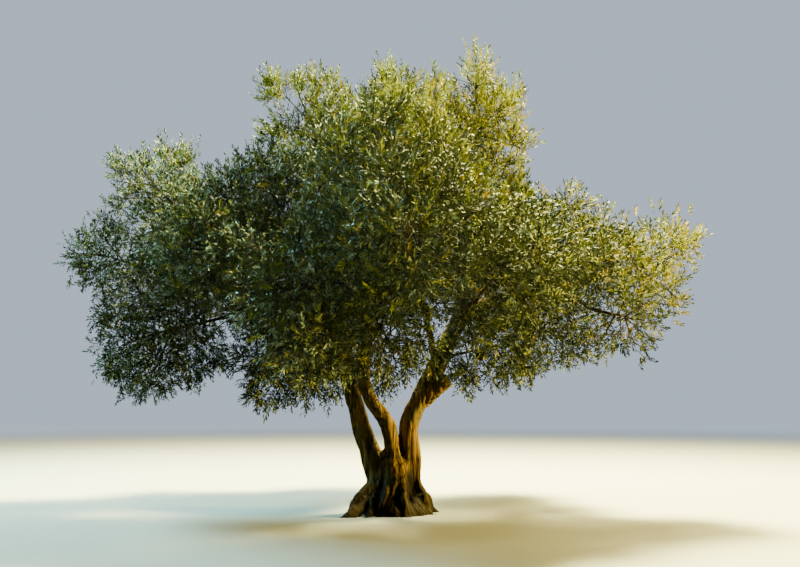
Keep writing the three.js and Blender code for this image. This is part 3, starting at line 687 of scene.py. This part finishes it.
LEADERS = [  # foot of each leading shoot at the crown's edge, and how far right and how high it ends
    # top
    (0.92, 0.1, 6.14, 0.86, 6.34), (1.05, 0.1, 5.82, 0.92, 6.14), (1.08, 0.1, 5.82, 1.06, 6.18),
    (1.24, 0.1, 5.71, 1.23, 6.02), (1, 0.1, 5.77, 0.87, 5.88), (1.66, 0.1, 5.43, 1.67, 5.68),
    (1.44, 0.1, 5.45, 1.47, 5.61), (1.77, 0.1, 4.69, 1.95, 4.7), (0.54, 0.05, 5.57, 0.49, 5.83),
    (0.64, 0.05, 5.43, 0.66, 5.69), (0.75, 0.05, 5.35, 0.77, 5.56), (-0.18, 0.05, 5.69, -0.25, 5.93),
    (-0.05, 0.05, 5.6, -0.07, 5.83), (0.14, 0.05, 5.54, 0.15, 5.77), (0.27, 0.05, 5.38, 0.26, 5.56),
    (-0.32, 0.05, 5.18, -0.4, 5.31),
    # upper left
    (-1.69, 0.15, 5.59, -1.73, 5.82), (-1.55, 0.15, 5.56, -1.57, 5.8), (-1.74, 0.15, 5.5, -1.9, 5.59),
    (-1.68, 0.15, 5.31, -1.87, 5.33), (-1.39, 0.15, 5.5, -1.41, 5.7), (-1.27, 0.15, 5.56, -1.3, 5.79),
    (-1.08, 0.15, 5.56, -1.1, 5.82), (-0.99, 0.15, 5.62, -1.01, 5.85), (-0.8, 0.15, 5.56, -0.76, 5.79),
    (-0.69, 0.15, 5.39, -0.6, 5.52), (-0.65, 0.15, 5.17, -0.61, 5.36), (-1.71, 0.1, 4.95, -1.87, 5.01),
    (-1.73, 0.1, 4.7, -1.88, 4.73),
    # left
    (-3.11, 0.2, 4.68, -3.16, 4.9), (-3.03, 0.2, 4.67, -3.08, 4.89), (-3.31, 0.2, 4.52, -3.37, 4.75),
    (-2.84, 0.2, 4.56, -2.86, 4.84), (-2.67, 0.2, 4.49, -2.61, 4.81), (-2.78, 0.2, 4.53, -2.71, 4.79),
    (-3.61, 0.2, 4.52, -3.72, 4.68), (-3.71, 0.2, 4.46, -3.82, 4.58), (-3.66, 0.2, 4.24, -3.8, 4.25),
    (-3.67, 0.2, 3.86, -3.88, 3.98), (-3.87, 0.1, 3.43, -3.93, 3.58), (-4.04, 0, 3.28, -4.06, 3.45),
    (-4.06, 0, 3.12, -4.18, 3.2), (-4.15, 0, 3.05, -4.3, 3.05), (-4.09, 0, 2.94, -4.14, 2.76),
    (-3.92, 0, 2.85, -3.96, 2.71), (-2.43, 0.1, 4.22, -2.42, 4.37), (-2.13, 0, 4.23, -2.12, 4.42),
    (-1.95, 0, 4.34, -1.95, 4.54), (-3.77, 0.2, 4.63, -3.79, 4.49),
    # right
    (1.94, 0.1, 3.94, 1.92, 4.1), (2.32, 0.1, 3.97, 2.31, 4.17), (2.54, 0.1, 3.81, 2.55, 3.94),
    (2.76, 0.1, 3.7, 2.85, 3.86), (2.93, 0.1, 3.63, 2.96, 3.75), (3.11, 0.1, 3.66, 3.12, 3.81),
    (3.36, 0.1, 3.73, 3.32, 3.93), (3.43, 0.1, 3.75, 3.46, 3.91), (3.66, 0.1, 3.69, 3.68, 3.83),
    (3.81, 0.1, 3.7, 3.85, 3.83), (3.91, 0.1, 3.42, 4.06, 3.47), (3.85, 0.1, 3.27, 3.92, 3.17),
    (3.6, 0.1, 2.59, 3.73, 2.62), (3.58, 0.1, 2.44, 3.71, 2.43), (3.51, 0.1, 2.34, 3.64, 2.28),
    (3.33, 0.1, 2.21, 3.46, 2.24), (3.22, 0.1, 2.11, 3.36, 2.09), (3.07, 0.1, 2.01, 3.15, 1.95),
]
FULLNESS = {  # how closely a mass is set with twigs, where that is more or less than the rest
    "left_shoulder": 0.9, "left_tip": 1.05, "left_skirt": 1.15, "low_left": 1.15, "mid_left": 1.2,
    "upper_left": 1.2, "top_mid": 1.25, "top_right": 1.35, "top_spire": 1.2,
}
SAME_PLACE = 0.001  # two places nearer than this are one


def seeded(seed):
    """Numbers from 0 to 1 that are the same for the same seed, and the same as the solids use."""
    word = 0xFFFFFFFF
    state = seed
    while True:
        state = (state + 0x6D2B79F5) & word
        t = ((state ^ (state >> 15)) * (1 | state)) & word
        t = ((t + (((t ^ (t >> 7)) * (61 | t)) & word)) & word) ^ t
        yield ((t ^ (t >> 14)) & word) / 4294967296


def even_ways(count, turn, ahead):
    """Even ways round a mass, from straight ahead to straight behind."""
    k = np.arange(count)
    z = 1 - 2 * k / (count - 1)
    ring = np.sqrt(np.clip(1 - z * z, 0, 1))
    ways = np.stack([ring * np.cos(k * GOLDEN_ANGLE + turn), ring * np.sin(k * GOLDEN_ANGLE + turn), z], 1)
    turned = Vector((0, 0, 1)).rotation_difference(Vector(ahead)).to_matrix()
    return ways @ np.array(turned).T


def out_of_openings(points, margin):
    """True for each point that is in no opening, nor within a margin of one."""
    outside = np.ones(len(points), bool)
    for *middle, radius in OPENINGS:
        outside &= np.linalg.norm((points - middle) * OPENING_STRETCH, axis=1) > radius + margin
    return outside


def in_sprigs(points):
    """True for each point in one of the small clumps."""
    inside = np.zeros(len(points), bool)
    for *middle, radius in SPRIGS:
        inside |= np.linalg.norm(points - middle, axis=1) < radius
    return inside


def power_of(points):
    """How far each point is from the surface of each mass: less the further it is inside."""
    return ((points[:, None] - MIDDLES[None]) ** 2).sum(2) - RADII[None] ** 2


def in_space(index, points):
    """True for each point in a mass's own space, or in the crease beside it, and not in an opening."""
    power = power_of(points)
    low = np.clip((SKIRTS["below"] - points[:, 2]) / SKIRTS["over"], 0, 1)
    high = np.clip((points[:, 2] - TOPS["above"]) / TOPS["over"], 0, 1)
    inner = np.clip(2 - 2 * np.linalg.norm((points - FILL_MIDDLE) / FILL_HALF, axis=1), 0, 1)
    inset = INSET["all"] - INSET["skirts"] * low + INSET["tops"] * high - INSET["middle"] * inner
    beyond = np.clip((np.abs(points[:, 1]) - BROAD_CLUMPS["from"]) / BROAD_CLUMPS["over"], 0, 1)
    inset = inset + BROAD_CLUMPS["depth"] * noise_at(points * BROAD_CLUMPS["per_metre"]) * beyond
    inset = inset + CLUMPS["depth"] * noise_at(points * CLUMPS["per_metre"])
    full = np.exp(-BLEND * power).sum(1) > inset
    full = full & out_of_openings(points, OPENING_MARGIN) | in_sprigs(points)
    return full & (power.argmin(1) == index)


def in_box(points):
    """True for each point inside the box of the solids, or just outside it."""
    low, high = np.array(cad_box[0]) - BOX_SLACK, np.array(cad_box[1]) + BOX_SLACK
    return np.all((points > low) & (points < high), axis=1)


limb_places = np.vstack([path for path, _ in limbs.values()])
limb_radii = np.concatenate([radii for _, radii in limbs.values()])


def clear_of_limbs(points):
    near = np.linalg.norm(points[:, None] - limb_places[None], axis=2) - limb_radii[None]
    return near.min(1) > LIMB_GAP


def across(ways, turns):
    """A way across each of several ways, turned round it."""
    flat = np.where(np.abs(ways[:, 2:]) > 0.9, np.array([[1.0, 0, 0]]), UP[None])
    first = unit(np.cross(ways, flat))
    second = np.cross(ways, first)
    return first * np.cos(turns)[:, None] + second * np.sin(turns)[:, None]


def kept(group, which):
    """Some of a group of twigs, or several of each. A group is the twigs' roots, ways, lengths and bends."""
    return tuple(values[which] for values in group)


def bent(group, shares):
    """Places on curved twigs, one each: out along their ways, bent sideways by the square of the share."""
    roots, ways, lengths, bends = group
    return roots + ways * (lengths * shares)[:, None] + bends * (lengths * shares**2)[:, None]


def places_at(group, share):
    """The places at one share of the way along all the twigs of a group."""
    return bent(group, np.full(len(group[0]), share))


def onward_at(group, shares):
    return unit(group[1] + 2 * group[3] * shares[:, None])


def shoots_on(random, sides, rise):
    """Shoots along each side twig, turned evenly round it and lifted."""
    number, per_side, first = len(sides[0]), SHOOT["count"], SHOOT["first"]
    count = number * per_side
    step = np.tile(np.arange(per_side), number)
    shares = first + (1 - first) * (step + 0.5 + random.uniform(-0.3, 0.3, count)) / per_side
    shares = np.clip(shares, 0, 1)
    bearers = kept(sides, np.repeat(np.arange(number), per_side))
    onward = onward_at(bearers, shares)
    turns = step * GOLDEN_ANGLE + np.repeat(random.uniform(0, 2 * math.pi, number), per_side)
    angle = SHOOT["spread"] * (1.15 - 0.55 * shares) * random.uniform(0.7, 1.3, count)
    way = unit(onward * np.cos(angle)[:, None] + across(onward, turns) * np.sin(angle)[:, None] + UP * rise)
    length = SHOOT["length"] * (1.1 - 0.35 * shares) * random.uniform(0.75, 1.25, count)
    bends = UP * rise * 0.5 + random.normal(0, 0.12, (count, 3))
    return bent(bearers, shares), way, length, bends


def leaders_of(index):
    """The leading shoots that stand on one mass, as a group of twigs."""
    rows = np.array(LEADERS)
    rows = rows[power_of(rows[:, :3]).argmin(1) == index]
    feet, tips = rows[:, :3], rows[:, [3, 1, 4]]
    return feet, unit(tips - feet), np.linalg.norm(tips - feet, axis=1), np.zeros((len(feet), 3))


def even_places(index, turn):
    """Places spread evenly through a mass's space, one for the tip of each side twig."""
    half = RADII[index] * 1.2
    count = int((2 * half / SIDE_TWIG["spacing"]) ** 3 * FULLNESS.get(MASS_NAMES[index], 1))
    shares = (turn + np.arange(1, count + 1)[:, None] * EVEN_STEPS) % 1
    places = MIDDLES[index] + (shares * 2 - 1) * half
    places = np.vstack([places, np.array(SPRIGS)[:, :3]])
    return np.vstack([places[in_space(index, places)], leaders_of(index)[0]])


def side_twigs(random, mains, tips, middle, rise):
    """Side twigs, one to each tip from the place on a main twig that is nearest and further in."""
    spots = np.concatenate([places_at(mains, share) for share in np.linspace(0.12, 0.92, 9)])
    gaps = np.linalg.norm(tips[:, None] - spots[None], axis=2)
    inner = np.linalg.norm(spots - middle, axis=1)[None] - np.linalg.norm(tips - middle, axis=1)[:, None]
    best = (gaps + 0.8 * np.maximum(inner + 0.12, 0)).argmin(1)
    roots = spots[best]
    lengths = np.linalg.norm(tips - roots, axis=1)
    bends = UP * rise * 0.3 + random.normal(0, 0.1, (len(tips), 3))
    return kept((roots, unit(tips - roots) - bends, lengths, bends), lengths > SIDE_TWIG["least"])


def triangles_mesh(name, corners, triangles):
    """A mesh of triangles from arrays."""
    mesh = bpy.data.meshes.new(name)
    mesh.vertices.add(len(corners))
    mesh.vertices.foreach_set("co", corners.astype(np.float32).ravel())
    mesh.loops.add(triangles.size)
    mesh.loops.foreach_set("vertex_index", triangles.astype(np.int32).ravel())
    mesh.polygons.add(len(triangles))
    mesh.polygons.foreach_set("loop_start", np.arange(0, triangles.size, 3, dtype=np.int32))
    mesh.update(calc_edges=True)
    return mesh


def twig_triangles(group, radii, rings):
    """Three-sided tapering twigs along a group's curves, closed at the foot and pointed at the tip."""
    count = len(group[0])
    side = across(group[1], np.zeros(count))
    other = unit(np.cross(group[1], side))
    corners = []
    for share in np.linspace(0, 1, rings + 1)[:-1]:
        middle = places_at(group, share)
        radius = radii[0] + (radii[1] - radii[0]) * share
        for turn in (0, 2 * math.pi / 3, 4 * math.pi / 3):
            corners.append(middle + radius * (math.cos(turn) * side + math.sin(turn) * other))
    corners.append(places_at(group, 1.0))
    corners = np.stack(corners, 1)
    pattern = [(0, 2, 1)]
    for ring in range(rings - 1):
        for k in range(3):
            a, b = ring * 3 + k, ring * 3 + (k + 1) % 3
            pattern += [(a, b, b + 3), (a, b + 3, a + 3)]
    last = (rings - 1) * 3
    pattern += [(last + k, last + (k + 1) % 3, rings * 3) for k in range(3)]
    per_twig = rings * 3 + 1
    triangles = np.array(pattern)[None] + (np.arange(count) * per_twig)[:, None, None]
    return corners.reshape(-1, 3), triangles.reshape(-1, 3)


LEAF_OUTLINE = np.array([  # along the leaf, across it and up from it, as shares of its length and width
    (0, 0, 0), (0.46, 0.5, 0.13), (1, 0, -0.1), (0.46, -0.5, 0.13),
])
LEAF_TRIANGLES = np.array([(0, 1, 2), (0, 2, 3)])  # the two halves, folded along the midrib


def leaves_on(random, shoots, pairs):
    """Corners and triangles of the leaves on a group of shoots, and the number of each leaf's shoot."""
    per_shoot = pairs * 2 + 1
    count = len(shoots[0]) * per_shoot
    which = np.repeat(np.arange(len(shoots[0])), per_shoot)
    number = np.tile(np.arange(per_shoot), len(shoots[0]))
    last = number == pairs * 2
    jitter = random.uniform(-0.04, 0.04, count)
    shares = np.where(last, 0.99, 0.14 + 0.84 * (number // 2 + 0.5) / pairs + jitter)
    bearers = kept(shoots, which)
    place, onward = bent(bearers, shares), onward_at(bearers, shares)
    start = np.repeat(random.uniform(0, math.pi, len(shoots[0])), per_shoot)
    turns = start + number * math.pi + number // 2 * (math.pi / 2) + random.normal(0, 0.35, count)
    outward_way = across(onward, turns)
    angle = np.radians(random.normal(LEAF["angle"], 13, count) - 20 * shares) * np.where(last, 0.2, 1)
    way = unit(onward * np.cos(angle)[:, None] + outward_way * np.sin(angle)[:, None])
    face = onward * 0.7 + UP * 0.5 - outward_way * 0.25 + random.normal(0, 0.5, (count, 3))
    side = unit(np.cross(way, face))
    face = np.cross(side, way)
    length = LEAF["length"] * random.uniform(0.72, 1.2, count) * (1.08 - 0.26 * shares)
    width = LEAF["width"] * random.uniform(0.8, 1.2, count)
    corners = (
        place[:, None]
        + way[:, None] * (LEAF_OUTLINE[None, :, :1] * length[:, None, None])
        + side[:, None] * (LEAF_OUTLINE[None, :, 1:2] * width[:, None, None])
        + face[:, None] * (LEAF_OUTLINE[None, :, 2:] * width[:, None, None])
    )
    triangles = LEAF_TRIANGLES[None] + (np.arange(count) * len(LEAF_OUTLINE))[:, None, None]
    return corners.reshape(-1, 3), triangles.reshape(-1, 3), which


def leaf_material(name, upper, under):
    """A leathery leaf: its upper face, its silvery underside, and a little unevenness in both."""
    material, tree, shader = new_material(name, 0.58, 0.15)
    place = node(tree, "ShaderNodeTexCoord").outputs["Object"]
    patch = node(tree, "ShaderNodeTexNoise", {"Vector": place}, Scale=3.0, Detail=3.0).outputs["Fac"]
    back = node(tree, "ShaderNodeNewGeometry").outputs["Backfacing"]
    colour = mixed(tree, back, (*upper, 1), (*under, 1))
    shade = mixed(tree, patch, (0.72, 0.74, 0.7, 1), (1.25, 1.22, 1.2, 1))
    tree.links.new(mixed(tree, 1.0, colour, shade, "MULTIPLY"), shader.inputs["Base Color"])
    return material


TINTS = {  # upper face and underside
    "deep green leaf": ((0.03, 0.045, 0.012), (0.09, 0.115, 0.06)),
    "olive leaf": ((0.08, 0.1, 0.018), (0.17, 0.19, 0.05)),
    "yellow olive leaf": ((0.29, 0.32, 0.022), (0.4, 0.42, 0.06)),
    "golden leaf": ((0.43, 0.35, 0.025), (0.52, 0.43, 0.06)),
    "grey green leaf": ((0.07, 0.105, 0.04), (0.19, 0.24, 0.12)),
    "silver leaf": ((0.2, 0.28, 0.19), (0.4, 0.49, 0.4)),
}
leaf_materials = [leaf_material(name, *colours) for name, colours in TINTS.items()]


def tint_of(random, shoots):
    """A tint for each spray, its own colour and painted light and shade: yellow and golden on the lit top,
    right and outside, deep green inside, silver highlights on the outer left.
    """
    tips = places_at(shoots, 1.0)
    patch = noise_at(tips * 1.4)
    right, height = tips[:, 0], tips[:, 2] - 3.3
    # warm is partly painted light: it grows towards the lamps, to the right and upwards.
    warm = 0.15 + np.where(right > 0, right**2 / 15, right / 8) + height / np.where(height > 0, 2.6, 4)
    warm = np.clip(warm + patch * 0.4, 0, 1)
    out = np.clip(np.linalg.norm((tips - CROWN_MIDDLE) / CROWN_HALF, axis=1) * 1.25 - 0.25, 0, 1)
    # In the order of TINTS: deep green is painted shade inside and away from the light, olive is even, yellow
    # olive and golden are painted light on the lit outside, grey green is painted shade away from the light,
    # and silver is a painted highlight of the cool lamp on the outer left.
    weights = np.stack([
        0.9 - 0.55 * out - 0.3 * warm,
        np.full(len(tips), 0.36),
        0.06 + 1.1 * warm**2 * out,
        0.015 + 0.25 * warm**2 * out + 0.2 * np.clip(right - 2.2, 0, 1),
        0.22 - 0.2 * warm,
        0.02 + 0.4 * out * np.clip(-right / 3, 0, 1),
    ], 1)
    steps = np.cumsum(weights / weights.sum(1, keepdims=True), 1)
    return (random.uniform(0, 1, len(tips))[:, None] > steps).sum(1).clip(0, len(TINTS) - 1)


def joined(parts):
    """One array of corners and one of triangles for several of each."""
    starts = np.cumsum([0] + [len(part[0]) for part in parts])[:-1]
    triangles = [part[1] + start for part, start in zip(parts, starts)]
    return np.vstack([part[0] for part in parts]), np.vstack(triangles)


for index, name in enumerate(MASS_NAMES):
    middle, radius, _, _, rise = MASSES[name]
    middle = np.array(middle)
    chance = seeded(FIRST_SEED + index)
    for _ in range(CORE_DRAWS):
        next(chance)
    turn = next(chance)
    random = np.random.default_rng(FIRST_SEED + index)
    path, _ = limbs[name]
    entry, onward, _ = way_at(path, 1)
    stem_end = middle + onward * 0.06
    ahead = unit(middle - CROWN_MIDDLE)
    ways = unit(even_ways(WAYS_ROUND, turn * 2 * math.pi, ahead) + UP * rise * 0.35)
    shares = 0.35 + 0.6 * (0.5 + 0.5 * ways @ onward)
    roots = entry + (stem_end - entry) * shares[:, None]
    tips = middle + ways * (reach(index, ways) * MAIN_TWIG["reaches"][0])[:, None]
    for share in MAIN_TWIG["reaches"][1:]:
        longer = middle + ways * (reach(index, ways) * share)[:, None]
        beyond = longer + ways * LEAF["length"]
        tips = np.where(in_space(index, beyond)[:, None], longer, tips)
    arrive = unit(tips - roots)
    bends = (ways - arrive) * MAIN_TWIG["bend"] + UP * rise * MAIN_TWIG["lift"]
    mains = (roots, arrive - bends, np.linalg.norm(tips - roots, axis=1), bends)

    tips = even_places(index, turn)
    tips = tips[in_box(tips)]
    out = np.linalg.norm((tips - SHADE_MIDDLE) / SHADE_HALF, axis=1)
    chances = np.clip((out - SHADE["from"]) / SHADE["over"], SHADE["least"], 1)
    tips = tips[random.uniform(0, 1, len(tips)) < chances]
    sides = side_twigs(random, mains, tips, middle, rise)
    halfway = places_at(sides, WELL_OUT)
    sides = kept(sides, out_of_openings(halfway, 0) | in_sprigs(halfway))
    shoots = shoots_on(random, sides, rise * 0.8 + 0.15)
    ends = places_at(shoots, 1.0)
    sound = in_space(index, places_at(shoots, WELL_OUT)) & in_box(ends)
    sound &= clear_of_limbs(places_at(shoots, 0.5))
    sound &= out_of_openings(ends, 0) | in_sprigs(ends)
    shoots = kept(shoots, sound)

    ends = places_at(sides, 1.0)
    lift = ((ends - middle) @ unit(ahead + UP * (rise * 2 + 0.3))) + random.normal(0, 0.12, len(ends))
    feet = ends[np.argsort(-lift)[:PLUME["count"]]]
    plume_ways = unit(UP * (rise * 1.6 + 0.5) + (feet - middle) + random.normal(0, 0.12, (len(feet), 3)))
    plume_bends = random.normal(0, 0.08, (len(feet), 3)) + UP * rise * 0.2
    plume_lengths = PLUME["length"] * random.uniform(0.6, 1.15, len(feet)) * (1 if rise > 0 else 0.8)
    plumes = (feet, plume_ways, plume_lengths, plume_bends)
    plumes = kept(plumes, in_space(index, places_at(plumes, 0.3)))
    plumes = kept(plumes, out_of_openings(places_at(plumes, 0.8), OPENING_MARGIN))
    plumes = tuple(np.concatenate(pair) for pair in zip(plumes, leaders_of(index)))
    plumes = kept(plumes, in_box(places_at(plumes, 1.0)))

    leafy = sound.reshape(-1, SHOOT["count"]).any(1)
    for foot in plumes[0]:
        leafy |= np.linalg.norm(ends - foot, axis=1) < SAME_PLACE
    sides = kept(sides, leafy)

    stem_length = np.linalg.norm(stem_end - entry)
    stem_way = unit(stem_end - entry)
    stem = (entry[None] - onward * 0.03, stem_way[None], np.array([stem_length]), np.zeros((1, 3)))
    twig_mesh = triangles_mesh(name + "_twigs", *joined([
        twig_triangles(stem, (BOUGH_TIP_RADIUS, STEM_TIP_RADIUS), 4),
        twig_triangles(mains, MAIN_TWIG["radii"], 4),
        twig_triangles(sides, SIDE_TWIG["radii"], 2),
        twig_triangles(shoots, SHOOT["radii"], 1),
        twig_triangles(plumes, PLUME["radii"], 2),
    ]))
    twig_mesh.materials.append(young_bark)
    # the twigs' value lies below where the painted shade begins
    set_values(twig_mesh, "groove_shade", np.full(len(twig_mesh.vertices), 0.35))
    twigs = object_of(name + "_twigs", twig_mesh)
    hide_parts(name + "_foliage")
    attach(twigs, "root")

    near = leaves_on(random, shoots, SHOOT["pairs"])
    far = leaves_on(random, plumes, PLUME["pairs"])
    leaf_mesh = triangles_mesh(name + "_leaves", *joined([near[:2], far[:2]]))
    for material in leaf_materials:
        leaf_mesh.materials.append(material)
    tints = np.concatenate([tint_of(random, shoots)[near[2]], tint_of(random, plumes)[far[2]]])
    leaf_mesh.polygons.foreach_set("material_index", np.repeat(tints, len(LEAF_TRIANGLES)).astype(np.int32))
    leaves = object_of(name + "_leaves", leaf_mesh)
    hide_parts(name + "_foliage")
    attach(leaves, "root")


# Stage. A plain pale floor, a pale even backdrop, and soft studio lamps: a strong warm one low on the right
# and one high up behind, as the photograph's light falls, a cool one high on the left that rims that edge,
# and little light from all round.
FLOOR_HALF = 60
floor_mesh = bpy.data.meshes.new("floor")
floor_corners = [(x * FLOOR_HALF, y * FLOOR_HALF, 0) for x, y in ((-1, -1), (1, -1), (1, 1), (-1, 1))]
floor_mesh.from_pydata(floor_corners, [], [(0, 1, 2, 3)])
BACKDROP = (0.5, 0.6, 0.72, 1)
floor_material = bpy.data.materials.new("pale floor")
floor_material.use_nodes = True
floor_tree = floor_material.node_tree
floor_shader = floor_tree.nodes["Principled BSDF"].inputs
floor_shader["Roughness"].default_value = 0.95
floor_shader["Emission Color"].default_value = BACKDROP
spot = node(floor_tree, "ShaderNodeTexCoord").outputs["Object"]
distance = node(floor_tree, "ShaderNodeVectorMath", {0: spot}, operation="LENGTH").outputs["Value"]
fade = ramp(floor_tree, distance, 5.0, 40.0, interpolation_type="SMOOTHSTEP")
to_camera = node(floor_tree, "ShaderNodeLightPath").outputs["Is Camera Ray"]
floor_colour = mixed(floor_tree, to_camera, (0.05, 0.05, 0.055, 1), (0.46, 0.44, 0.41, 1))
floor_colour = mixed(floor_tree, fade, floor_colour, (0, 0, 0, 1))
floor_tree.links.new(floor_colour, floor_shader["Base Color"])
glow = node(floor_tree, "ShaderNodeMath", {0: fade, 1: to_camera}, operation="MULTIPLY")
floor_tree.links.new(glow.outputs[0], floor_shader["Emission Strength"])
floor_mesh.materials.append(floor_material)
floor = object_of("floor", floor_mesh)

world = bpy.data.worlds.new("studio")
world.use_nodes = True
room = world.node_tree
shine = room.nodes["Background"]
shine.inputs["Color"].default_value = (0.62, 0.86, 1.0, 1)
shine.inputs["Strength"].default_value = 0.036
backdrop = node(room, "ShaderNodeBackground", Color=BACKDROP, Strength=1.0)
seen = node(room, "ShaderNodeLightPath").outputs["Is Camera Ray"]
either = node(room, "ShaderNodeMixShader", {0: seen, 1: shine.outputs[0], 2: backdrop.outputs[0]})
room.links.new(either.outputs[0], room.nodes["World Output"].inputs["Surface"])
bpy.context.scene.world = world

LAMPS = {  # place, size, colour and power
    "low warm lamp": ((15.8, -0.9, 2.7), 2.6, (1.0, 0.8, 0.2), 11500),
    "high warm lamp": ((3.4, 5.6, 15.0), 3.0, (1.0, 0.96, 0.38), 46000),
    "left cool lamp": ((-11.0, 4.5, 10.5), 5.0, (0.5, 1.0, 0.98), 7600),
}
for name, (place, size, colour, power) in LAMPS.items():
    lamp_data = bpy.data.lights.new(name, "AREA")
    lamp_data.size = size
    lamp_data.color = colour
    lamp_data.energy = power
    lamp = bpy.data.objects.new(name, lamp_data)
    lamp.location = place
    lamp.rotation_euler = (Vector((0, 0, 3)) - Vector(place)).to_track_quat("-Z", "Y").to_euler()
    bpy.context.scene.collection.objects.link(lamp)
